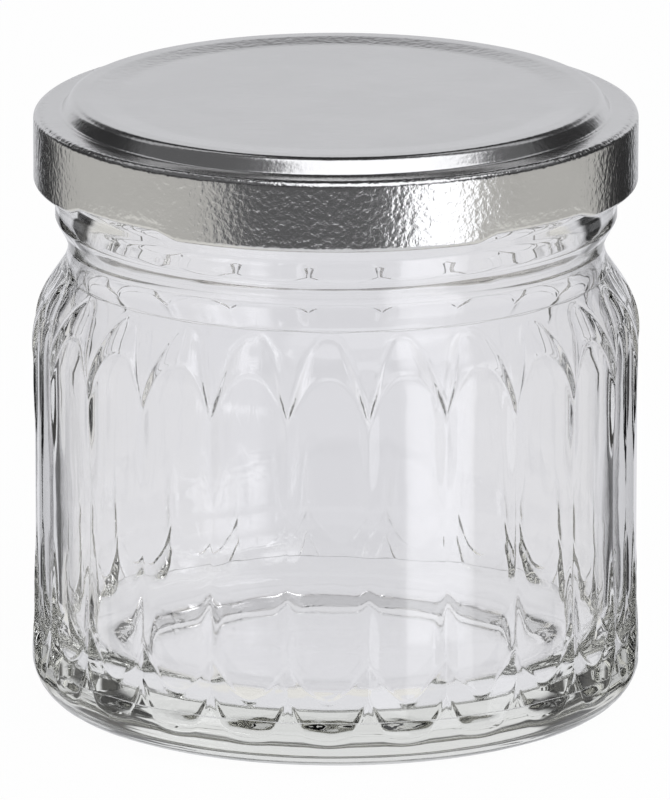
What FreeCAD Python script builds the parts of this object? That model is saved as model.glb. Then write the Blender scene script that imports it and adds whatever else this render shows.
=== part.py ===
import FreeCAD, Part
import math
import os

# Canning jar of pressed clear glass, closed by a four-lug twist-off lid of thin tinplate.
# Millimetres. +Z is up, the jar stands on z = 0 and its axis is the Z axis.
# An azimuth is counted in degrees from the front (-Y) towards +X.

# --- glass body ---
body_radius = 34.6          # outside of the raised relief
heel_round = 5.5            # rounding between wall and base
base_thickness = 5.5        # glass under the inner floor
push_up = 1.0               # rise of the underside inside the bearing ring
push_slope = 4.0            # width of the slope up to that height
bearing_width = 2.2         # flat ring that the jar stands on
body_wall = 2.25            # glass behind the recessed panels
inner_heel_round = 7.6      # the wall thickens towards the base over this height
shoulder_low = 45.5         # height where the wall turns in to the shoulder
shoulder_rise = 6.2         # height of the sloping part of the shoulder
shoulder_round = 11.3       # rounding at both ends of the shoulder

# --- relief: lancet panels pressed into the wall ---
flute_count = 24
first_arris = 6.0           # azimuth of the arris nearest to the front
relief_depth = 0.40         # step from the raised relief down to a panel
panel_sag = 0.06            # how far a panel's middle lies inside its two arrises
arch_rise = 4.2             # crown of each panel's arch, above the foot of the shoulder
arch_drop = 9.3             # from the crown down to the tip of a tongue
foot_bottom = 2.9           # lowest point of each panel's round foot
foot_rise = 10.6            # from there up to the tip of a heel tooth

# --- neck and finish ---
finish_radius = 31.2        # wall that carries the thread
neck_step = 1.0             # the groove under the bead lies inside the finish wall
bead_step = 0.7             # the bead stands out from the finish wall
groove_rise = 2.1           # straight groove above the shoulder
bead_cone_rise = 2.6        # flaring underside of the bead
bead_height = 2.5           # upright face of the bead
bead_taper = 0.8            # from the bead's top edge back to the wall
finish_height = 10.3        # sealing rim above the bead
rim_inset = 1.0             # the rim is this much narrower than the finish wall
rim_taper = 1.8             # height over which it narrows
rim_round = 0.8
finish_wall = 3.0           # glass between the mouth and the finish wall

# --- thread: four short ribs that the lid's lugs slide under ---
thread_count = 4
thread_depth = 1.75
thread_root = 2.4           # height of a rib at its root, inside the wall
thread_crest = 1.0          # height of a rib at its crest
thread_span = 58.0          # degrees
thread_tilt = 2.4           # degrees of climb
thread_bite = 0.4           # a rib is rooted this deep in the wall

# --- lid ---
sheet = 0.20                # tinplate
thread_clearance = 1.05     # between a rib's crest and the skirt
skirt_height = 8.15         # from the lower edge to the outer ledge
skirt_round = 0.8
ledge_width = 3.1           # outer ledge, from the skirt to the raised ring
ring_rise = 1.75            # raised ring above the ledge
ring_batter = 1.2           # the ring's outer wall leans in by this much
ring_width = 1.9
ring_round = 1.0            # rounding at the top of that wall
ring_fillet = 0.3           # and at its foot
panel_slope = 3.1           # width of the slope from the ring down to the centre panel
panel_drop = 0.3
mark_radius = 3.6           # faint ring pressed into the middle of the panel
mark_depth = 0.06
mark_width = 0.7
curl_radius = 0.5           # rolled lower edge
first_lug = 43.0            # azimuth
lug_span = 20.0             # degrees
lug_gap = 0.7               # between a lug's tip and the finish wall
lug_thickness = 0.6
lug_lift = 0.8              # the rolled edge is pressed up here
lug_ramp = 3.0              # degrees over which the edge comes down again
lug_clearance = 0.05        # under the thread rib

# --- sealing ring ---
seal_thickness = 0.95
seal_margin = 0.2           # free of the rim's two edges
seal_bevel = 0.8            # width taken off the upper outer edge

# Worked out from the sizes above.
neck_radius = finish_radius - neck_step
bead_radius = finish_radius + bead_step
mouth_radius = finish_radius - finish_wall
rim_radius = finish_radius - rim_inset
shoulder_high = shoulder_low + shoulder_rise
bead_cone_low = shoulder_high + groove_rise
bead_low = bead_cone_low + bead_cone_rise
bead_high = bead_low + bead_height
rim_height = bead_high + finish_height
arch_top = shoulder_low + arch_rise
lid_radius = finish_radius + thread_depth + thread_clearance + sheet
ring_top = rim_height + seal_thickness + sheet
ledge_top = ring_top - ring_rise
lid_bottom = ledge_top - skirt_height
lug_bottom = lid_bottom + lug_lift
lug_top = lug_bottom + lug_thickness
inner_radius = body_radius - relief_depth - body_wall
pitch = 360.0 / flute_count
reach = 10.0                # cutting shapes run this far past the glass


def point(radius, height):
    return FreeCAD.Vector(radius, 0, height)


def rounded_edges(corners):
    """Edges through (radius, height, rounding) corners, each corner replaced by a tangent arc."""
    places = [point(r, z) for r, z, rounding in corners]
    edges = []
    start = places[0]
    for before, here, after, corner in zip(places, places[1:], places[2:], corners[1:]):
        back = before - here
        ahead = after - here
        turn = back.getAngle(ahead)
        rounding = corner[2]
        if rounding > 0:
            trim = rounding / math.tan(turn / 2)
            trim = min(trim, 0.75 * back.Length, 0.75 * ahead.Length)
            rounding = trim * math.tan(turn / 2)
            entry = here + back.normalize() * trim
            leave = here + ahead.normalize() * trim
            inwards = (back + ahead).normalize()
            middle = here + inwards * (rounding / math.sin(turn / 2) - rounding)
            edges.append(Part.LineSegment(start, entry).toShape())
            edges.append(Part.Arc(entry, middle, leave).toShape())
            start = leave
        else:
            edges.append(Part.LineSegment(start, here).toShape())
            start = here
    edges.append(Part.LineSegment(start, places[-1]).toShape())
    return edges


def turned(corners):
    """Solid of revolution about Z. The corners run from the axis back to the axis."""
    edges = rounded_edges(corners)
    edges.append(Part.LineSegment(point(*corners[-1][:2]), point(*corners[0][:2])).toShape())
    face = Part.Face(Part.Wire(edges))
    return face.revolve(FreeCAD.Vector(0, 0, 0), FreeCAD.Vector(0, 0, 1), 360)


def turned_block(corners, span):
    """Section with straight sides, turned over a span of azimuth centred on +X."""
    wire = Part.makePolygon([point(r, z) for r, z in corners + corners[:1]])
    solid = Part.Face(wire).revolve(FreeCAD.Vector(0, 0, 0), FreeCAD.Vector(0, 0, 1), span)
    solid.rotate(FreeCAD.Vector(0, 0, 0), FreeCAD.Vector(0, 0, 1), -span / 2)
    return solid


def at_azimuth(shape, azimuth):
    """Copy of a shape built towards +X, turned to an azimuth counted from -Y."""
    copy = shape.copy()
    copy.rotate(FreeCAD.Vector(0, 0, 0), FreeCAD.Vector(0, 0, 1), azimuth - 90)
    return copy


def outer_corners(inset):
    """Outside of the glass up to the shoulder, moved inwards by an inset."""
    radius = body_radius - inset
    return [
        (radius, 0, heel_round),
        (radius, shoulder_low, shoulder_round),
        (neck_radius - inset, shoulder_high, shoulder_round),
    ]


def glass_envelope():
    """The jar without its inside, its panels and its thread."""
    stand = body_radius - heel_round
    bearing = stand - bearing_width
    corners = [(0, push_up, 0), (bearing - push_slope, push_up, 4.0), (bearing, 0, 0)]
    corners += outer_corners(0)
    corners += [
        (neck_radius, bead_cone_low, 1.0),
        (bead_radius, bead_low, 1.0),
        (bead_radius, bead_high, 0.6),
        (finish_radius, bead_high + bead_taper, 0.6),
        (finish_radius, rim_height - rim_taper, 1.0),
        (rim_radius, rim_height, rim_round),
        (0, rim_height, 0),
    ]
    return turned(corners)


def panel_core():
    """The body at panel depth: a drum whose sides are 24 slightly flattened arcs."""
    corners = [(0, -reach, 0), (body_radius - relief_depth, -reach, 0)]
    corners += outer_corners(relief_depth)[1:]
    corners += [(neck_radius - relief_depth, rim_height, 0), (0, rim_height, 0)]
    drum = turned(corners)
    arris = body_radius - relief_depth
    edges = []
    for step in range(flute_count):
        angles = [math.radians(first_arris - 90 + (step + share) * pitch) for share in (0, 0.5, 1)]
        radii = (arris, arris - panel_sag, arris)
        ends = [FreeCAD.Vector(r * math.cos(a), r * math.sin(a), -reach) for r, a in zip(radii, angles)]
        edges.append(Part.Arc(*ends).toShape())
    prism = Part.Face(Part.Wire(edges)).extrude(FreeCAD.Vector(0, 0, rim_height + reach))
    return drum.common(prism)


def parabola(half_width, side_height, tip_height):
    """Upright parabola from one side to the other as an exact curve of three poles."""
    curve = Part.BezierCurve()
    curve.setPoles([
        FreeCAD.Vector(0, -half_width, side_height),
        FreeCAD.Vector(0, 0, 2 * tip_height - side_height),
        FreeCAD.Vector(0, half_width, side_height),
    ])
    return curve.toShape()


def panel_cutter():
    """Lancet outline with an arched crown and a round foot, drawn out along +X."""
    half_pitch = body_radius * math.sin(math.radians(pitch / 2))
    half_width = 1.12 * half_pitch
    spread = (half_width / half_pitch) ** 2
    arch_side = arch_top - arch_drop * spread
    foot_side = foot_bottom + foot_rise * spread
    left = [FreeCAD.Vector(0, -half_width, z) for z in (foot_side, arch_side)]
    right = [FreeCAD.Vector(0, half_width, z) for z in (arch_side, foot_side)]
    edges = [
        Part.LineSegment(*left).toShape(),
        parabola(half_width, arch_side, arch_top),
        Part.LineSegment(*right).toShape(),
        parabola(half_width, foot_side, foot_bottom),
    ]
    face = Part.Face(Part.Wire(Part.__sortEdges__(edges)))
    face.translate(FreeCAD.Vector(body_radius - reach, 0, 0))
    return face.extrude(FreeCAD.Vector(2 * reach, 0, 0))


def panel_ring():
    """Everything that the panels take away from the envelope."""
    cutter = panel_cutter()
    cutters = [at_azimuth(cutter, first_arris + (step + 0.5) * pitch) for step in range(flute_count)]
    return cutters[0].multiFuse(cutters[1:]).cut(panel_core())


def thread_rib():
    """One rib towards +X, tilted so that it climbs like the start of a screw thread."""
    low = lug_top + lug_clearance
    middle = low + thread_root / 2
    section = [
        (finish_radius - thread_bite, low),
        (finish_radius + thread_depth, middle - thread_crest / 2),
        (finish_radius + thread_depth, middle + thread_crest / 2),
        (finish_radius - thread_bite, low + thread_root),
    ]
    rib = turned_block(section, thread_span)
    rib.rotate(FreeCAD.Vector(0, 0, middle), FreeCAD.Vector(1, 0, 0), thread_tilt)
    return rib


def glass_inside():
    """The hollow of the jar, open at the mouth."""
    return turned([
        (0, base_thickness, 0),
        (inner_radius, base_thickness, inner_heel_round),
        (inner_radius, shoulder_low, shoulder_round),
        (mouth_radius, shoulder_high, shoulder_round),
        (mouth_radius, rim_height - rim_round, rim_round),
        (mouth_radius + rim_round, rim_height, 0),
        (mouth_radius + rim_round, rim_height + reach, 0),
        (0, rim_height + reach, 0),
    ])


def make_jar():
    rib = thread_rib()
    ribs = [at_azimuth(rib, first_lug + step * 360 / thread_count) for step in range(thread_count)]
    jar = glass_envelope().cut(panel_ring())
    jar = jar.multiFuse(ribs)
    return jar.cut(glass_inside())


def lid_corners(inset, bottom):
    """Section of the lid from its middle to its skirt, moved into the sheet by an inset."""
    ring_outer = lid_radius - ledge_width
    crown = ring_outer - ring_batter
    crown_inner = crown - ring_width
    return [
        (0, ring_top - panel_drop - inset, 0),
        (crown_inner - panel_slope, ring_top - panel_drop - inset, 2.0),
        (crown_inner, ring_top - inset, 2.0),
        (crown - inset, ring_top - inset, ring_round - inset),
        (ring_outer - inset, ledge_top - inset, ring_fillet + inset),
        (lid_radius - inset, ledge_top - inset, skirt_round - inset),
        (lid_radius - inset, bottom, 0),
        (0, bottom, 0),
    ]


def edge_notch():
    """What the rolled edge loses at a lug: a low trapezium drawn out along +X."""
    wide = lid_radius * math.sin(math.radians(lug_span / 2 + lug_ramp))
    narrow = lid_radius * math.sin(math.radians(lug_span / 2))
    outline = [(-wide, lid_bottom - 1), (wide, lid_bottom - 1), (wide, lid_bottom), (narrow, lug_bottom),
               (-narrow, lug_bottom), (-wide, lid_bottom), (-wide, lid_bottom - 1)]
    wire = Part.makePolygon([FreeCAD.Vector(finish_radius, y, z) for y, z in outline])
    return Part.Face(wire).extrude(FreeCAD.Vector(reach, 0, 0))


def make_lid():
    shell = turned(lid_corners(0, lid_bottom + curl_radius))
    shell = shell.cut(turned(lid_corners(sheet, lid_bottom - reach)))
    curl = Part.makeTorus(lid_radius - curl_radius, curl_radius)
    curl.translate(FreeCAD.Vector(0, 0, lid_bottom + curl_radius))
    tip = finish_radius + lug_gap
    root = lid_radius - sheet / 2
    lug = turned_block([(tip, lug_bottom), (root, lug_bottom), (root, lug_top), (tip, lug_top)], lug_span)
    azimuths = [first_lug + step * 360 / thread_count for step in range(thread_count)]
    lid = shell.fuse(curl)
    lid = lid.cut(Part.makeCompound([at_azimuth(edge_notch(), azimuth) for azimuth in azimuths]))
    lid = lid.multiFuse([at_azimuth(lug, azimuth) for azimuth in azimuths])
    mark = turned_block([
        (mark_radius - mark_width / 2, ring_top - panel_drop + mark_depth),
        (mark_radius, ring_top - panel_drop - mark_depth),
        (mark_radius + mark_width / 2, ring_top - panel_drop + mark_depth),
    ], 360)
    return lid.cut(mark)


def make_seal():
    inner = mouth_radius + seal_margin
    outer = rim_radius - seal_margin
    top = rim_height + seal_thickness
    return turned_block([
        (inner, rim_height),
        (outer, rim_height),
        (outer, rim_height + seal_thickness / 2),
        (outer - seal_bevel, top),
        (inner, top),
    ], 360)


def single_solid(shape):
    """The one solid that a boolean left, its split faces joined again."""
    clean = shape.removeSplitter()
    return clean.Solids[0] if len(clean.Solids) == 1 else clean


os.makedirs("parts", exist_ok=True)
for node, shape in (("jar", make_jar()), ("lid", make_lid()), ("seal", make_seal())):
    solid = single_solid(shape)
    solid.exportStep("parts/" + node + ".step")
    print(node, "solids", len(solid.Solids), "valid", solid.isValid(), "volume", round(solid.Volume, 1))
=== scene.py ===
import bpy
import math
import numpy as np
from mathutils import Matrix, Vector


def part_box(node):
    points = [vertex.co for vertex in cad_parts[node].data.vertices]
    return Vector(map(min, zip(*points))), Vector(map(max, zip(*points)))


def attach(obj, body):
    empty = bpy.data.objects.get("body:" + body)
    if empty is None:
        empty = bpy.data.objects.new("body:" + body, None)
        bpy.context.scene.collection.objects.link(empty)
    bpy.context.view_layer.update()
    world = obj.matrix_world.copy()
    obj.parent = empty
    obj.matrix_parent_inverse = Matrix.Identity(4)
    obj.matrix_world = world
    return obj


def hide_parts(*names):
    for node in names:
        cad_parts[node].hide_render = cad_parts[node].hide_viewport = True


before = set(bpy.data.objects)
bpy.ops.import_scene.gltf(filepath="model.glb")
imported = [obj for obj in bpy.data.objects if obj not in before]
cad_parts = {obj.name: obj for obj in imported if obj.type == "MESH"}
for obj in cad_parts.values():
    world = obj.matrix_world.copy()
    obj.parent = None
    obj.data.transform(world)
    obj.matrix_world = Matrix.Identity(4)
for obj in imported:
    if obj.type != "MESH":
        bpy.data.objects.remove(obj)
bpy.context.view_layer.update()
jarBox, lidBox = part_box("jar"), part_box("lid")
mm = 0.001
fullTurn = 2 * math.pi

# Sizes are in millimetres and become metres when a mesh is made. An azimuth is counted from the
# front (-Y) towards +X, in degrees in the dictionaries.


class Sock:
    # wraps one output socket, so that shader maths reads as Python expressions
    def __init__(self, tree, socket):
        self.tree = tree
        self.socket = socket

    def maths(self, operation, *others):
        made = self.tree.nodes.new("ShaderNodeMath")
        made.operation = operation
        for slot, value in enumerate((self,) + others):
            plug(self.tree, made.inputs[slot], value)
        return Sock(self.tree, made.outputs[0])

    def sibling(self, key):
        # another output of the same node, by its name or number
        return Sock(self.tree, self.socket.node.outputs[key])

    def __add__(self, other):
        return self.maths("ADD", other)

    def __radd__(self, other):
        return self.maths("ADD", other)

    def __mul__(self, other):
        return self.maths("MULTIPLY", other)

    def __rmul__(self, other):
        return self.maths("MULTIPLY", other)

    def __sub__(self, other):
        return self.maths("SUBTRACT", other)

    def __rsub__(self, other):
        return self.maths("MULTIPLY_ADD", -1.0, other)

    def __truediv__(self, other):
        return self.maths("DIVIDE", other)

    def __pow__(self, other):
        return self.maths("POWER", other)


def plug(tree, target, value):
    if isinstance(value, Sock):
        tree.links.new(value.socket, target)
    else:
        target.default_value = value


class Shader:
    # one node tree; node() takes a type, its settings and its sockets' values or links
    def __init__(self, owner):
        owner.use_nodes = True
        self.tree = owner.node_tree
        self.tree.nodes.clear()

    def node(self, kind, settings=None, output=0, **sockets):
        # a socket goes by its name, with _ for a space, or by i and its number
        made = self.tree.nodes.new(kind)
        for name, value in (settings or {}).items():
            setattr(made, name, value)
        for name, value in sockets.items():
            numbered = name[0] == "i" and name[1:].isdigit()
            key = int(name[1:]) if numbered else name.replace("_", " ")
            plug(self.tree, made.inputs[key], value)
        return Sock(self.tree, made.outputs[output]) if made.outputs else None

    def smooth(self, value, low, high):
        # 0 below low, 1 above high, smooth between; low may be the larger one
        return self.node("ShaderNodeMapRange", {"interpolation_type": "SMOOTHSTEP"}, Value=value,
                         From_Min=low, From_Max=high, To_Min=0.0, To_Max=1.0)

    def between(self, value, low, high, soft):
        # 1 from low to high, running out to 0 over twice soft at both ends
        rising = self.smooth(value, low - soft, low + soft)
        return rising * self.smooth(value, high + soft, high - soft)

    def noise(self, place, scale, detail, roughness=0.5):
        return self.node("ShaderNodeTexNoise", Vector=place, Scale=scale, Detail=detail,
                         Roughness=roughness)

    def mixed(self, share, first, second):
        # colour between two others
        return self.node("ShaderNodeMix", {"data_type": "RGBA"}, 2, Factor=share, i6=first, i7=second)

    def objectPlace(self):
        return self.node("ShaderNodeTexCoord", output="Object")


def smoothstep(low, high, value):
    # 0 below low, 1 above high, and 3 t^2 - 2 t^3 of the share t between them
    share = np.clip((value - low) / (high - low), 0, 1)
    return share * share * (3 - 2 * share)


def plateau(value, low, lowEnd, highEnd, high):
    # climbs from 0 at low to 1 at lowEnd, and falls from highEnd back to 0 at high
    return smoothstep(low, lowEnd, value) * (1 - smoothstep(highEnd, high, value))


def bell(value, centre, spread):
    # bell curve: 1 at its centre, 1/e at one spread from it
    return np.exp(-((value - centre) / spread) ** 2)


def roundedLine(corners, arcSteps=24, longestTrim=0.75):
    # points along (radius, height, rounding) corners; each corner gives way to the arc that touches
    # both its sides, which takes no more than the longest trim's share of either side
    corners = np.array(corners, float)
    points = [corners[0, :2]]
    for before, here, after in zip(corners, corners[1:], corners[2:]):
        if here[2] <= 0:
            points.append(here[:2])
            continue
        back = before[:2] - here[:2]
        ahead = after[:2] - here[:2]
        backLength, aheadLength = np.hypot(*back), np.hypot(*ahead)
        back, ahead = back / backLength, ahead / aheadLength
        turn = math.acos(np.clip(back @ ahead, -1, 1))
        room = longestTrim * min(backLength, aheadLength)
        trim = min(here[2] / math.tan(turn / 2), room)
        rounding = trim * math.tan(turn / 2)
        bisector = (back + ahead) / np.hypot(*(back + ahead))
        centre = here[:2] + bisector * rounding / math.sin(turn / 2)
        half = (math.pi - turn) / 2
        side = np.sign(back[0] * ahead[1] - back[1] * ahead[0])
        angles = -side * np.linspace(-half, half, arcSteps)
        ca, sa = np.cos(angles), np.sin(angles)
        arm = -bisector * rounding
        points.extend(centre + np.stack([arm[0] * ca - arm[1] * sa, arm[0] * sa + arm[1] * ca], 1))
    points.append(corners[-1, :2])
    return np.array(points)


def equalCuts(fine, cost, count):
    # places that cut the fine line into stretches of equal cost
    total = np.concatenate([[0], np.cumsum((cost[1:] + cost[:-1]) / 2 * np.diff(fine))])
    return np.interp(np.linspace(0, total[-1], count), total, fine)


def spacedLine(line, rows, weight, samples=6000):
    # the same line cut into rows at equal steps of arc length times a weight of (radius, height)
    step = np.hypot(*np.diff(line, axis=0).T)
    along = np.concatenate([[0], np.cumsum(step)])
    fine = np.linspace(0, along[-1], samples)
    radius, height = np.interp(fine, along, line[:, 0]), np.interp(fine, along, line[:, 1])
    cuts = equalCuts(fine, weight(radius, height), rows)
    return np.interp(cuts, fine, radius), np.interp(cuts, fine, height)


def rowNormal(radius, height):
    # outward normal of a turned line: its direction from row to row, turned a quarter outwards
    dr, dz = np.gradient(radius), np.gradient(height)
    length = np.hypot(dr, dz) + 1e-12
    return dz / length, -dr / length


def turnedMesh(name, radius, angle, height):
    # closed skin over a grid of rows by columns: every point stands at its radius, azimuth and
    # height round the axis; columns wrap round, and the first and last rows are poles
    x, y = radius * np.sin(angle) * mm, -radius * np.cos(angle) * mm
    z = np.broadcast_to(height * mm, x.shape)
    rows, columns = x.shape
    ring = np.stack([x[1:-1].ravel(), y[1:-1].ravel(), z[1:-1].ravel()], 1)
    points = np.concatenate([ring, [(0.0, 0.0, z[0].mean()), (0.0, 0.0, z[-1].mean())]])
    column = np.arange(columns)
    following = (column + 1) % columns
    row = np.arange(rows - 3)[:, None] * columns
    above = row + columns
    quads = np.stack([row + column, row + following, above + following, above + column], -1)
    pole = len(ring)
    top = (rows - 3) * columns
    lowCap = np.stack([np.full(columns, pole), following, column], 1)
    highCap = np.stack([np.full(columns, pole + 1), top + column, top + following], 1)
    faces = quads.reshape(-1, 4).tolist() + lowCap.tolist() + highCap.tolist()
    mesh = bpy.data.meshes.new(name)
    mesh.from_pydata(points.tolist(), [], faces)
    mesh.validate()
    mesh.shade_smooth()
    piece = bpy.data.objects.new(name, mesh)
    bpy.context.scene.collection.objects.link(piece)
    return piece


def waves(angle, height, seed, count, turns, cycles):
    # gentle unevenness about zero: the sum of random sine waves, each with a whole number of turns
    # round the axis and some radians per centimetre of height, over the square root of their count
    rng = np.random.default_rng(seed)
    centimetres = height * 0.1
    total = np.zeros(np.broadcast(angle, height).shape)
    for _ in range(count):
        around = rng.integers(1, turns + 1)
        upward = rng.uniform(-cycles, cycles)
        total = total + np.sin(around * angle + upward * centimetres + rng.uniform(0, fullTurn))
    return total / math.sqrt(count)


def turnFrom(angle, degrees):
    # signed turn in radians from an azimuth in degrees, between minus and plus half a turn
    return (angle - math.radians(degrees) + math.pi) % fullTurn - math.pi


glass = {
    # the outside, from the base up
    "bodyRadius": 34.6, "heelRound": 5.5,
    "pushUp": 1.0, "pushSlope": 4.0, "pushRound": 4.0, "bearingWidth": 2.2, "bearingRound": 0.8,
    "shoulderLow": 45.5, "shoulderRise": 6.2, "shoulderRound": 11.3,
    "neckStep": 0.87, "grooveRise": 2.1, "grooveRound": 3.0,
    "coneRise": 2.6, "beadStep": 0.62, "beadHeight": 2.5, "beadTaper": 0.8,
    "beadRound": 0.45, "beadTopRound": 0.6,
    "finishRadius": 31.2, "finishRound": 1.0, "rimHeight": round(jarBox[1][2] / mm, 2),
    "rimInset": 1.0, "rimTaper": 1.8, "rimRound": 0.8,
    # thickness of the glass
    "baseThickness": 5.5, "wall": 2.25, "innerHeelRound": 7.6, "finishWall": 3.0,
    # panels pressed into the wall, each between two arrises; the relief is a ramp between an outer
    # and an inner line, given by the height at the panel's middle and the change up to its arris
    "flutes": 24, "firstArris": 6.0, "relief": 0.40, "sag": 0.06,
    "archPower": 2.4, "archOuter": (50.0, 8.7), "archInner": (46.2, 5.8),
    "footPower": 1.9, "footOuter": (2.6, 6.3), "footInner": (8.4, 4.8),
    "rampSoftness": 0.2, "reliefBand": (1.5, 3.0, 50.3, 51.5), "midHeight": 25.0,
    "ribWidth": 0.7, "ribHeight": 0.27, "ribFades": (14.0, 22.0, 30.0, 38.0),
    # unevenness of the pressed glass, and where it sets in and runs out
    "uneven": 0.02, "unevenFrom": (0.2, 2.0),
    "innerUneven": 0.06, "innerUnevenRadii": (12.0, 26.0), "innerUnevenTop": (54.0, 58.0),
    # where the fine lines along the arches and feet are drawn, and a distance that hides them
    "lineBand": (6.0, 51.0), "lineRadius": 28.0, "farOff": 9.0,
}
glassGrid = {
    "columns": 576, "outerRows": 122, "innerRows": 42,
    # extra rows: (height, spread, extra) at arches and feet, and above or below a height
    "archRows": (45.5, 4.5, 3.0), "footRows": (8.5, 4.5, 2.5),
    "neckFrom": 55.5, "neckExtra": 1.5, "heelBelow": 10.0, "heelExtra": 1.0,
    "floorRadius": 24.0, "floorShare": 0.35, "floorSlack": 0.01,
    # columns crowd round the flanks of arches and feet at these heights, and along the arrises
    "archBand": (36.0, 41.0, 49.0, 51.0), "footBand": (2.5, 5.0, 13.0, 17.0),
    "archInset": 1.2, "dropInset": 0.6, "footInset": 1.0,
    "crowdPull": 3.0, "crowdWidth": 0.14, "arrisPull": 1.2, "arrisWidth": 0.08,
}
thread = {
    "count": 4, "first": 43.0, "span": 58.0, "taper": 5.0, "tilt": 2.4, "turnRadius": 31.0,
    "low": 61.9, "depth": 1.75, "root": 2.4, "crest": 1.0,
    "fromHeight": (59.0, 60.0), "fromRadius": (30.0, 31.2),
}


def glassOuterLine(g):
    bearing = g["bodyRadius"] - g["heelRound"] - g["bearingWidth"]
    neck = g["finishRadius"] - g["neckStep"]
    bead = g["finishRadius"] + g["beadStep"]
    high = g["shoulderLow"] + g["shoulderRise"]
    cone = high + g["grooveRise"]
    beadLow = cone + g["coneRise"]
    beadTop = beadLow + g["beadHeight"]
    return roundedLine([
        (0, g["pushUp"], 0),
        (bearing - g["pushSlope"], g["pushUp"], g["pushRound"]),
        (bearing, 0, g["bearingRound"]),
        (g["bodyRadius"], 0, g["heelRound"]),
        (g["bodyRadius"], g["shoulderLow"], g["shoulderRound"]),
        (neck, high, g["shoulderRound"]),
        (neck, cone, g["grooveRound"]),
        (bead, beadLow, g["beadRound"]),
        (bead, beadTop, g["beadTopRound"]),
        (g["finishRadius"], beadTop + g["beadTaper"], g["beadTopRound"]),
        (g["finishRadius"], g["rimHeight"] - g["rimTaper"], g["finishRound"]),
        (g["finishRadius"] - g["rimInset"], g["rimHeight"], g["rimRound"]),
        (g["finishRadius"] - g["finishWall"] / 2, g["rimHeight"], 0),
    ])


def glassInnerLine(g):
    inner = g["bodyRadius"] - g["relief"] - g["wall"]
    mouth = g["finishRadius"] - g["finishWall"]
    return roundedLine([
        (g["finishRadius"] - g["finishWall"] / 2, g["rimHeight"], 0),
        (mouth, g["rimHeight"], g["rimRound"]),
        (mouth, g["shoulderLow"] + g["shoulderRise"], g["shoulderRound"]),
        (inner, g["shoulderLow"], g["shoulderRound"]),
        (inner, g["baseThickness"], g["innerHeelRound"]),
        (0, g["baseThickness"], 0),
    ])


def halfPanel(g):
    # width of half a panel round the body
    return math.pi * g["bodyRadius"] / g["flutes"]


def reliefHeight(g, across, height):
    # share of the full relief that stands at a point: 1 on shoulder, tongues and teeth, 0 on a
    # panel, and a nearly straight ramp between the outer and inner lines; across is 0 at a panel's
    # middle and 1 at its arris, and a line's height changes with a power of it
    bend = across ** g["archPower"]
    upperHigh = g["archOuter"][0] - g["archOuter"][1] * bend
    upperLow = g["archInner"][0] - g["archInner"][1] * bend
    bend = across ** g["footPower"]
    lowerLow = g["footOuter"][0] + g["footOuter"][1] * bend
    lowerHigh = g["footInner"][0] + g["footInner"][1] * bend
    upper = (height - upperLow) / (upperHigh - upperLow)
    lower = (lowerHigh - height) / (lowerHigh - lowerLow)
    share = np.clip(np.maximum(upper, lower), 0, 1)
    soft = g["rampSoftness"]
    return (1 - soft) * share + soft * smoothstep(0, 1, share)


def lineDistances(g, across, height):
    # distance to the outer and to the inner line, of the arch above mid height and of the foot
    # below, positive on the panel's side: the difference in height over the root of 1 + lean^2
    found = []
    for arch, foot in ((g["archOuter"], g["footOuter"]), (g["archInner"], g["footInner"])):
        upper = height - (arch[0] - arch[1] * across ** g["archPower"])
        upperLean = arch[1] * g["archPower"] / halfPanel(g) * across ** (g["archPower"] - 1)
        lower = height - (foot[0] + foot[1] * across ** g["footPower"])
        lowerLean = foot[1] * g["footPower"] / halfPanel(g) * across ** (g["footPower"] - 1)
        archSide, footSide = -upper / np.hypot(1, upperLean), lower / np.hypot(1, lowerLean)
        found.append(np.where(height > g["midHeight"], archSide, footSide))
    return found


def ribHeight(g, across, height):
    # low rib along each arris, a bell in section, that runs on from the tongues and teeth and dies
    # out at mid height
    low, lowEnd, highEnd, high = g["ribFades"]
    along = smoothstep(highEnd, high, height) + smoothstep(lowEnd, low, height)
    return g["ribHeight"] * along * bell((1 - across) * halfPanel(g), 0, g["ribWidth"])


def columnPlaces(g, grid, height):
    # where the columns of half a panel stand, from its middle (0) to its arris (1), one row per
    # height: cuts of equal cost, where the cost peaks at the flank of the arch or foot
    half = grid["columns"] // g["flutes"] // 2
    fine = np.linspace(0, 1, 300)
    power = 1 / g["archPower"]
    crown, drop = g["archOuter"][0] - grid["archInset"], g["archOuter"][1] - grid["dropInset"]
    arch = np.clip((crown - height) / drop, 0, 1) ** power
    foot = np.clip((height - g["footOuter"][0] - grid["footInset"]) / g["footOuter"][1], 0, 1) ** power
    centres = np.where(height > g["midHeight"], arch, foot)
    pulls = np.maximum(plateau(height, *grid["archBand"]), plateau(height, *grid["footBand"]))
    arris = grid["arrisPull"] * bell(fine, 1, grid["arrisWidth"])
    places = []
    for centre, pull in zip(centres, pulls * grid["crowdPull"]):
        cost = 1 + pull * bell(fine, centre, grid["crowdWidth"]) + arris
        places.append(equalCuts(fine, cost, half + 1))
    return np.array(places)


def glassAngles(g, grid, height):
    # azimuth of every column in every row: each panel's middle plus or minus the half panel's places
    half = columnPlaces(g, grid, height)
    pitch = fullTurn / g["flutes"]
    panel = np.concatenate([-half[:, :0:-1], half[:, :-1]], 1) * pitch / 2
    middles = math.radians(g["firstArris"]) + (np.arange(g["flutes"]) + 0.5) * pitch
    return (middles[None, :, None] + panel[:, None, :]).reshape(len(height), -1)


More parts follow.
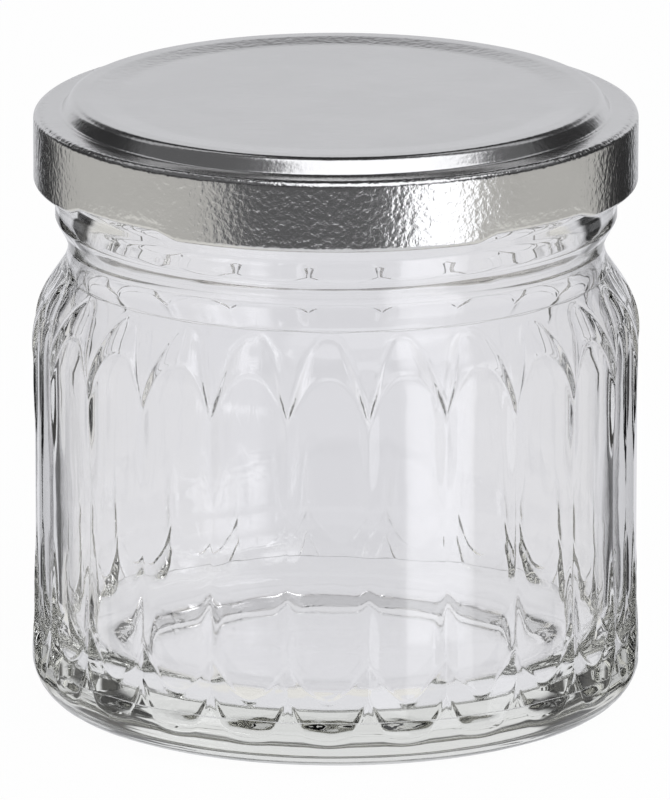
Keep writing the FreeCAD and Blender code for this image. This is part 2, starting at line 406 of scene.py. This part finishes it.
def threadRise(t, angle, height):
    # short ribs round the finish, each a softened trapezium in section that climbs to the right
    total = np.zeros(angle.shape)
    halfSpan = math.radians(t["span"] / 2)
    for step in range(t["count"]):
        turn = turnFrom(angle, t["first"] + step * 360 / t["count"])
        climb = t["turnRadius"] * np.sin(turn) * math.tan(math.radians(t["tilt"]))
        middle = t["low"] + t["root"] / 2 + climb
        ends = 1 - smoothstep(halfSpan - math.radians(t["taper"]), halfSpan, np.abs(turn))
        body = 1 - smoothstep(t["crest"] / 2, t["root"] / 2, np.abs(height - middle))
        total = np.maximum(total, t["depth"] * ends * body)
    return total


def makeGlass():
    # outer skin: the turned line, sunk along its normal by the panels and the unevenness, and
    # raised by the thread; inner skin: the inner line with its own unevenness
    g, grid, t = glass, glassGrid, thread

    def outerWeight(radius, height):
        beyondFloor = radius > grid["floorRadius"]
        (arch, archSpread, archExtra), (foot, footSpread, footExtra) = grid["archRows"], grid["footRows"]
        busy = bell(height, arch, archSpread) * archExtra + bell(height, foot, footSpread) * footExtra
        plain = np.where(radius < grid["floorRadius"], grid["floorShare"], 1.0)
        return plain + busy * beyondFloor + grid["neckExtra"] * (height > grid["neckFrom"])

    def innerWeight(radius, height):
        plain = np.where(height < g["baseThickness"] + grid["floorSlack"], grid["floorShare"], 1.0)
        return plain + grid["heelExtra"] * (height < grid["heelBelow"])

    radius, height = spacedLine(glassOuterLine(g), grid["outerRows"], outerWeight)
    angle = glassAngles(g, grid, height)
    out, up = rowNormal(radius, height)
    rowHeight = np.broadcast_to(height[:, None], angle.shape)
    rowRadius = radius[:, None]
    pitch = fullTurn / g["flutes"]
    turn = (angle - math.radians(g["firstArris"]) + pitch / 2) % pitch - pitch / 2
    across = 1 - np.abs(turn) / (pitch / 2)
    # the panels' depth is full on wall and shoulder, and runs out where the heel curves in
    onHeel = height < g["heelRound"]
    room = radius - g["bodyRadius"] + g["relief"]
    depth = np.where(onHeel, np.clip(room, 0, g["relief"]), g["relief"])[:, None]
    runOut = np.where(onHeel, np.clip((room + g["sag"]) / g["sag"], 0, 1), 1)[:, None]
    share = reliefHeight(g, across, rowHeight)
    raised = np.maximum(share * depth, ribHeight(g, across, rowHeight) * (depth / g["relief"]))
    sag = (1 - share) * g["sag"] * (1 - across ** 2) * runOut
    inset = (depth - raised + sag) * plateau(height, *g["reliefBand"])[:, None]
    uneven = waves(angle, rowHeight, seed=3, count=12, turns=7, cycles=2.0)
    inset = inset + g["uneven"] * uneven * smoothstep(*g["unevenFrom"], rowHeight)
    onFinish = smoothstep(*t["fromHeight"], rowHeight) * smoothstep(*t["fromRadius"], rowRadius)
    outerR = rowRadius - inset * out[:, None] + threadRise(t, angle, rowHeight) * onFinish
    outerZ = rowHeight - inset * up[:, None]

    innerRadius, innerHeight = spacedLine(glassInnerLine(g), grid["innerRows"], innerWeight)
    innerRadius, innerHeight = innerRadius[1:, None], innerHeight[1:, None]
    innerAngle = np.broadcast_to(angle[-1], (len(innerRadius), grid["columns"]))
    uneven = g["innerUneven"] * waves(innerAngle, innerHeight, seed=8, count=16, turns=9, cycles=2.5)
    uneven = uneven * smoothstep(*g["innerUnevenRadii"], innerRadius)
    innerR = innerRadius + uneven * (1 - smoothstep(*g["innerUnevenTop"], innerHeight))
    innerZ = np.broadcast_to(innerHeight, innerR.shape)

    allR, allZ = np.concatenate([outerR, innerR]), np.concatenate([outerZ, innerZ])
    piece = turnedMesh("glassJar", allR, np.concatenate([angle, innerAngle]), allZ)
    # every point carries its distance to the outer and inner lines, for the material's fine lips
    shown = (rowHeight > g["lineBand"][0]) & (rowHeight < g["lineBand"][1]) & (rowRadius > g["lineRadius"])
    for name, distance in zip(("outerLine", "innerLine"), lineDistances(g, across, rowHeight)):
        values = np.full(allR.shape, g["farOff"])
        values[:len(radius)] = np.where(shown, distance, g["farOff"])
        layer = piece.data.attributes.new(name, "FLOAT", "POINT")
        layer.data.foreach_set("value", np.concatenate([values[1:-1].ravel(), [g["farOff"]] * 2]))
    return piece


glassFinish = {
    "tint": (0.99, 0.986, 0.99, 1), "ior": 1.52, "roughness": 0.0,
    "depthColour": (0.86, 0.88, 0.76, 1), "depthDensity": 7.0,
    "peelHeight": 0.016, "peelScale": 260.0, "peelDetail": 1.0, "peelRoughness": 0.45,
    "lipWidth": 0.32, "lipHeight": 0.09, "lipWander": 0.7,
}


def glassMaterial():
    # clear glass with a faint green in its depth and a fire-polished skin; a fine raised lip follows
    # each outer line and a fine groove each inner one, a bell of the distance that the mesh carries,
    # and the skin's own noise makes them wander
    f = glassFinish
    material = bpy.data.materials.new("clearGlass")
    s = Shader(material)
    peel = s.noise(s.objectPlace(), f["peelScale"], f["peelDetail"], f["peelRoughness"])
    wander = (peel - 0.5) * f["lipWander"]

    def lip(name):
        distance = s.node("ShaderNodeAttribute", {"attribute_name": name}, output="Fac") + wander
        return ((distance / f["lipWidth"]) ** 2 * -1).maths("EXPONENT")

    skin = peel * f["peelHeight"] + (lip("outerLine") - lip("innerLine")) * f["lipHeight"]
    bump = s.node("ShaderNodeBump", Strength=1.0, Distance=mm, Height=skin)
    body = s.node("ShaderNodeBsdfPrincipled", Base_Color=f["tint"], Roughness=f["roughness"],
                  IOR=f["ior"], Transmission_Weight=1.0, Normal=bump)
    inside = s.node("ShaderNodeVolumeAbsorption", Color=f["depthColour"], Density=f["depthDensity"])
    s.node("ShaderNodeOutputMaterial", Surface=body, Volume=inside)
    return material


lid = {
    "sheet": 0.20, "radius": round(lidBox[1][0] / mm, 1), "bottom": round(lidBox[0][2] / mm, 2),
    "skirtHeight": 8.15, "skirtRound": 0.8, "ledgeWidth": 3.1, "footRound": 0.3,
    "ringTop": round(lidBox[1][2] / mm, 2), "ringBatter": 1.2, "ringWidth": 1.9, "crownRound": 1.0,
    "panelSlope": 3.1, "slopeRound": 2.0, "panelDrop": 0.3,
    # rolled lower edge
    "curl": 0.5, "curlRound": 0.49, "curlInnerRound": 0.3, "tuckRound": 0.05,
    # lugs bent in from the rolled edge; the ranges are heights above the lower edge
    "lugs": 4, "firstLug": 43.0, "lugSpan": 20.0, "lugRamp": 6.0,
    "pinch": 0.12, "pinchFades": (0.3, 3.2), "lugReach": 1.1, "reachFades": (1.0, 1.6),
    "reachInset": 0.4, "lugLift": 0.8, "liftFades": (0.0, 2.6),
    # ring pressed into the panel's middle, and unevenness of the sheet
    "markRadius": 3.6, "markDepth": 0.09, "markWidth": 0.8,
    "panelUneven": 0.012, "panelEdge": (22.0, 25.0), "panelStart": (0.0, 8.0),
    "skirtUneven": 0.02, "skirtStart": (31.0, 34.0),
}
lidGrid = {
    "columns": 480, "rows": 190,
    # sparse rows on the flat top, and extra ones over ring and ledge and round the rolled edge
    "flatAbove": 69.9, "flatRadius": 24.0, "flatShare": 0.25,
    "ringAbove": 67.0, "ringRadius": 27.0, "ringExtra": 1.5, "curlBelow": 61.6, "curlExtra": 2.0,
}


def lidLine(p):
    # section of the sheet: over the top from the middle, down the skirt, round the rolled edge and
    # back up the inside
    ringOuter = p["radius"] - p["ledgeWidth"]
    crown = ringOuter - p["ringBatter"]
    crownInner = crown - p["ringWidth"]
    ledgeTop = p["bottom"] + p["skirtHeight"]

    def top(inset):
        panelTop = p["ringTop"] - p["panelDrop"] - inset
        return [
            (0, panelTop, 0),
            (crownInner - p["panelSlope"], panelTop, p["slopeRound"]),
            (crownInner, p["ringTop"] - inset, p["slopeRound"]),
            (crown - inset, p["ringTop"] - inset, p["crownRound"] - inset),
            (ringOuter - inset, ledgeTop - inset, p["footRound"] + inset),
            (p["radius"] - inset, ledgeTop - inset, p["skirtRound"] - inset),
        ]

    curlTop = p["bottom"] + 2 * p["curl"]
    inner = p["radius"] - 2 * p["curl"]
    rolled = [
        (p["radius"], p["bottom"], p["curlRound"]),
        (inner, p["bottom"], p["curlRound"]),
        (inner, curlTop, p["curlInnerRound"]),
        (p["radius"] - p["sheet"], curlTop, p["tuckRound"]),
    ]
    return roundedLine(top(0) + rolled + top(p["sheet"])[::-1])


def makeLid():
    # the turned section, drawn inwards at the lugs, with a pressed ring and a faint unevenness
    p, grid = lid, lidGrid

    def weight(radius, height):
        flatTop = (height > grid["flatAbove"]) & (radius < grid["flatRadius"])
        ring = (height > grid["ringAbove"]) & (radius > grid["ringRadius"])
        extra = grid["ringExtra"] * ring + grid["curlExtra"] * (height < grid["curlBelow"])
        return np.where(flatTop, grid["flatShare"], 1.0) + extra

    radius, height = spacedLine(lidLine(p), grid["rows"], weight)
    angle = np.linspace(0, fullTurn, grid["columns"], endpoint=False)[None, :]
    lugShare = np.zeros(angle.shape)
    flat = math.radians(p["lugSpan"] / 2)
    for step in range(p["lugs"]):
        turn = np.abs(turnFrom(angle, p["firstLug"] + step * 360 / p["lugs"]))
        lugShare = np.maximum(lugShare, 1 - smoothstep(flat, flat + math.radians(p["lugRamp"]), turn))
    rowR, rowZ = radius[:, None], height[:, None]
    rise = rowZ - p["bottom"]
    innerSide = 1 - smoothstep(p["radius"] - 2 * p["curl"], p["radius"] - p["reachInset"], rowR)
    pinch = p["pinch"] * (1 - smoothstep(*p["pinchFades"], rise))
    reach = p["lugReach"] * (1 - smoothstep(*p["reachFades"], rise)) * innerSide
    lift = p["lugLift"] * (1 - smoothstep(*p["liftFades"], rise))
    outerSkin = np.arange(grid["rows"])[:, None] < grid["rows"] / 2
    mark = p["markDepth"] * bell(rowR, p["markRadius"], p["markWidth"] / 2) * outerSkin
    onPanel = smoothstep(*p["panelStart"], rowR) * (1 - smoothstep(*p["panelEdge"], rowR))
    panelWaves = p["panelUneven"] * waves(angle, rowR, seed=21, count=10, turns=4, cycles=1.5)
    skirtWaves = p["skirtUneven"] * waves(angle, rowZ, seed=5, count=10, turns=12, cycles=3.0)
    r = rowR - lugShare * (pinch + reach) + skirtWaves * smoothstep(*p["skirtStart"], rowR)
    z = rowZ + lugShare * lift - mark + panelWaves * onPanel
    piece = turnedMesh("tinplateLid", r, angle, z)
    piece.data.flip_normals()
    return piece


lidFinish = {
    "colour": (0.79, 0.785, 0.775, 1), "shade": (0.74, 0.735, 0.725, 1),
    "roughness": 0.19, "mottle": 0.05,
    "grainScale": 1500.0, "grainDepth": 0.00008, "grainDetail": 2.0, "topGrain": 0.3,
    "skirtEdge": (0.0325, 0.0338), "cloudScale": 110.0, "cloudDetail": 3.0, "cloudRange": (0.3, 0.7),
}


def lidMaterial():
    # satin tinplate: fine grain, cloudy tone; the drawn skirt is rougher than the flat top
    f = lidFinish
    material = bpy.data.materials.new("satinTinplate")
    s = Shader(material)
    place = s.objectPlace()
    grain = s.noise(place, f["grainScale"], f["grainDetail"])
    cloud = s.noise(place, f["cloudScale"], f["cloudDetail"])
    tone = s.mixed(s.smooth(cloud, *f["cloudRange"]), f["shade"], f["colour"])
    rough = f["roughness"] + (grain - 0.5) * f["mottle"] + (cloud - 0.5) * f["mottle"]
    flat = s.node("ShaderNodeVectorMath", {"operation": "MULTIPLY"}, i0=place, i1=(1, 1, 0))
    fromAxis = s.node("ShaderNodeVectorMath", {"operation": "LENGTH"}, output="Value", i0=flat)
    skirt = s.smooth(fromAxis, *f["skirtEdge"])
    relief = grain * (f["topGrain"] + skirt * (1 - f["topGrain"]))
    bump = s.node("ShaderNodeBump", Strength=1.0, Distance=f["grainDepth"], Height=relief)
    body = s.node("ShaderNodeBsdfPrincipled", Base_Color=tone, Metallic=1.0, Roughness=rough, Normal=bump)
    s.node("ShaderNodeOutputMaterial", Surface=body)
    return material


sealFinish = {
    "shade": (0.70, 0.68, 0.62, 1), "colour": (0.82, 0.80, 0.74, 1), "roughness": 0.6,
    "grainScale": 500.0, "grainDetail": 3.0, "grainStrength": 0.3, "grainDepth": 0.0002,
}


def sealMaterial():
    # matt cream sealing compound
    f = sealFinish
    material = bpy.data.materials.new("sealingCompound")
    s = Shader(material)
    grain = s.noise(s.objectPlace(), f["grainScale"], f["grainDetail"])
    tone = s.mixed(grain, f["shade"], f["colour"])
    bump = s.node("ShaderNodeBump", Strength=f["grainStrength"], Distance=f["grainDepth"], Height=grain)
    body = s.node("ShaderNodeBsdfPrincipled", Base_Color=tone, Roughness=f["roughness"], Normal=bump)
    s.node("ShaderNodeOutputMaterial", Surface=body)
    return material


# The studio's light is painted by direction. An azimuth runs from -180 to 180 degrees with 0 at
# the front, a side is an azimuth without its sign, and a rise is counted up from the horizon.
# Three numbers are (from, to, softness), and two are (where it is 0, where it is 1).
studio = {
    "cool": (0.955, 0.962, 1.0, 1), "warm": (1.0, 0.99, 0.955, 1), "white": (1, 1, 1, 1),
    "dark": 0.03,
    "table": 0.80, "tableEdge": (-22.0, -26.0), "seenTableEdge": (-19.0, -22.0),
    # what tin and glass mirror
    "front": 0.09, "frontSide": (60.0, 40.0), "frontTop": (20.0, 10.0),
    "backdrop": 0.72, "backdropSide": (148.0, 152.0), "backdropLean": 0.6, "backdropTop": (27.0, 23.0),
    "softBox": 1.55, "softBoxWidth": (27.0, 55.0, 0.8), "softBoxTop": (22.0, 12.0),
    "cards": 0.50, "cardTop": (12.0, 4.0),
    "leftCard": (-132.0, -44.0, 8.0), "rightCard": (55.0, 122.0, 3.0),
    "wings": 0.10, "wingRise": (20.0, 30.0), "wingSide": (110.0, 100.0),
    # ceiling lights, measured across and along a ceiling one unit up
    "overhead": 1.3, "overheadAcross": (-0.34, 1.0, 0.08), "overheadAlong": (-1.3, -0.1, 0.05),
    "strip": 0.5, "stripAcross": (0.2, 1.2, 0.05), "stripAlong": (0.3, 0.7, 0.08), "lowestCeiling": 0.05,
    # what shows through the glass
    "seenThrough": 0.80, "behindSide": (145.0, 149.0), "behindTop": (34.0, 24.0),
    "seenSides": 0.66, "flankSide": (30.0, 131.0, 3.0), "flankTop": (50.0, 20.0),
    "seenAbove": 0.50, "upperRise": (34.0, 40.0), "upperSide": (120.0, 140.0), "upperAll": (50.0, 60.0),
    "seenAloft": 3.0, "aloftWidth": (25.0, 60.0, 4.0), "aloftRise": (24.0, 62.0, 5.0),
    "seenFront": 0.42,
    "seenSoftBox": 1.6, "glowWidth": (27.0, 55.0, 3.0), "glowTop": (26.0, 6.0),
}


def makeWorld():
    # a pale backdrop behind, a tall soft box at the front right, lights overhead, pale cards at both
    # sides, a white table below and dark gaps between; the camera itself sees plain white
    p = studio
    world = bpy.data.worlds.new("studio")
    bpy.context.scene.world = world
    s = Shader(world)
    x = s.node("ShaderNodeSeparateXYZ", i0=s.node("ShaderNodeTexCoord"))
    y, z = x.sibling("Y"), x.sibling("Z")
    azimuth = x.maths("ARCTAN2", y * -1.0) * math.degrees(1)
    rise = z.maths("ARCSINE") * math.degrees(1)
    side = azimuth.maths("ABSOLUTE")
    up = z.maths("MAXIMUM", p["lowestCeiling"])
    across, along = x / up, y / up

    def shareOf(angle, edge, height, top):
        return s.smooth(angle, *edge) * s.smooth(height, *top)

    cards = s.between(azimuth, *p["leftCard"]) + s.between(azimuth, *p["rightCard"])
    cards = cards * s.smooth(rise, *p["cardTop"])
    front = shareOf(side, p["frontSide"], rise, p["frontTop"])
    overhead = s.between(across, *p["overheadAcross"]) * s.between(along, *p["overheadAlong"])
    strip = s.between(across.maths("ABSOLUTE"), *p["stripAcross"]) * s.between(along, *p["stripAlong"])
    wings = shareOf(side, p["wingSide"], rise, p["wingRise"])
    backdrop = shareOf(side + rise * p["backdropLean"], p["backdropSide"], rise, p["backdropTop"])
    softBox = s.between(azimuth, *p["softBoxWidth"]) * s.smooth(rise, *p["softBoxTop"])
    table = s.smooth(rise, *p["tableEdge"])
    mirrored = p["dark"] + front * p["front"] + cards * p["cards"] + overhead * p["overhead"]
    mirrored = mirrored + strip * p["strip"] + wings * p["wings"] + softBox * p["softBox"]
    mirrored = mirrored + backdrop * (p["backdrop"] - p["dark"])
    mirrored = mirrored * (1 - table) + table * p["table"]

    behind = shareOf(side, p["behindSide"], rise, p["behindTop"])
    flanks = s.between(side, *p["flankSide"]) * s.smooth(rise, *p["flankTop"])
    upper = s.smooth(side, *p["upperSide"]).maths("MAXIMUM", s.smooth(rise, *p["upperAll"]))
    upper = upper * s.smooth(rise, *p["upperRise"])
    aloft = s.between(azimuth, *p["aloftWidth"]) * s.between(rise, *p["aloftRise"])
    glow = s.between(azimuth, *p["glowWidth"]) * s.smooth(rise, *p["glowTop"])
    seenTable = s.smooth(rise, *p["seenTableEdge"])
    through = p["dark"] + front * p["seenFront"] + behind * (p["seenThrough"] - p["dark"])
    through = through + aloft * p["seenAloft"] + flanks * p["seenSides"] + upper * p["seenAbove"]
    through = through + glow * p["seenSoftBox"]
    through = through * (1 - seenTable) + seenTable * p["table"]

    camera = s.node("ShaderNodeLightPath", output="Is Camera Ray")
    light = mirrored + camera.sibling("Is Transmission Ray") * (through - mirrored)
    tint = s.mixed(camera, s.mixed(cards, p["cool"], p["warm"]), p["white"])
    colour = s.node("ShaderNodeBackground", Color=tint, Strength=camera + (1 - camera) * light)
    s.node("ShaderNodeOutputWorld", Surface=colour)


floorFinish = {"reach": 6.0, "matt": (0.9, 0.9, 0.9, 1), "glow": (1, 1, 1, 1), "whiteness": 0.98}


def makeFloor():
    # white floor that keeps a faint shadow; neither tin nor glass sees it
    f = floorFinish
    reach = f["reach"]
    corners = [(-reach, -reach, 0), (reach, -reach, 0), (reach, reach, 0), (-reach, reach, 0)]
    mesh = bpy.data.meshes.new("floor")
    mesh.from_pydata(corners, [], [(0, 1, 2, 3)])
    floor = bpy.data.objects.new("floor", mesh)
    bpy.context.scene.collection.objects.link(floor)
    floor.visible_glossy = False
    floor.visible_transmission = False
    material = bpy.data.materials.new("paleFloor")
    s = Shader(material)
    camera = s.node("ShaderNodeLightPath", output="Is Camera Ray")
    matt = s.node("ShaderNodeBsdfDiffuse", Color=f["matt"])
    glow = s.node("ShaderNodeEmission", Color=f["glow"], Strength=1.0)
    white = s.node("ShaderNodeMixShader", i0=camera * f["whiteness"], i1=matt, i2=glow)
    s.node("ShaderNodeOutputMaterial", Surface=white)
    mesh.materials.append(material)


lamp = {"size": 0.8, "energy": 6.0, "place": (0.5, -0.6, 1.4), "tilt": (25.0, 20.0, 0.0)}
view = {
    "distance": 2.0, "elevation": 14.8, "aimAcross": -0.11, "aimHeight": 34.6, "frameHeight": 90.806,
    "sensor": 36.0, "farthest": 50.0,
}


def makeLamp():
    # square lamp above the front right, which gives the floor its light
    light = bpy.data.lights.new("topLamp", "AREA")
    light.shape = "RECTANGLE"
    light.size, light.size_y = lamp["size"], lamp["size"]
    light.energy = lamp["energy"]
    body = bpy.data.objects.new("topLamp", light)
    body.location = lamp["place"]
    body.rotation_euler = [math.radians(part) for part in lamp["tilt"]]
    body.visible_glossy = False
    body.visible_transmission = False
    bpy.context.scene.collection.objects.link(body)


def makeCamera():
    # looks down at the jar from the front; the lens is as long as the distance asks
    camera = bpy.data.cameras.new("camera")
    rise = math.radians(view["elevation"])
    distance = view["distance"]
    camera.sensor_width = view["sensor"]
    camera.lens = view["sensor"] * distance / (view["frameHeight"] * mm)
    camera.clip_end = view["farthest"]
    body = bpy.data.objects.new("camera", camera)
    height = view["aimHeight"] * mm + distance * math.sin(rise)
    body.location = (view["aimAcross"] * mm, -distance * math.cos(rise), height)
    body.rotation_euler = (math.pi / 2 - rise, 0, 0)
    bpy.context.scene.collection.objects.link(body)
    bpy.context.scene.camera = body


def finishWith(piece, material):
    piece.data.materials.clear()
    piece.data.materials.append(material)


def dress(piece, material, node):
    finishWith(piece, material)
    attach(piece, "root")
    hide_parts(node)


makeCamera()
makeWorld()
makeFloor()
makeLamp()
print("studio ready")

dress(makeGlass(), glassMaterial(), "jar")
print("glass jar ready")
dress(makeLid(), lidMaterial(), "lid")
print("lid ready")
finishWith(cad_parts["seal"], sealMaterial())
print("sealing ring ready")

scene = bpy.context.scene
scene.view_settings.view_transform = "Standard"
scene.cycles.max_bounces = 32
scene.cycles.transmission_bounces = 32
scene.cycles.glossy_bounces = 12
scene.cycles.transparent_max_bounces = 16
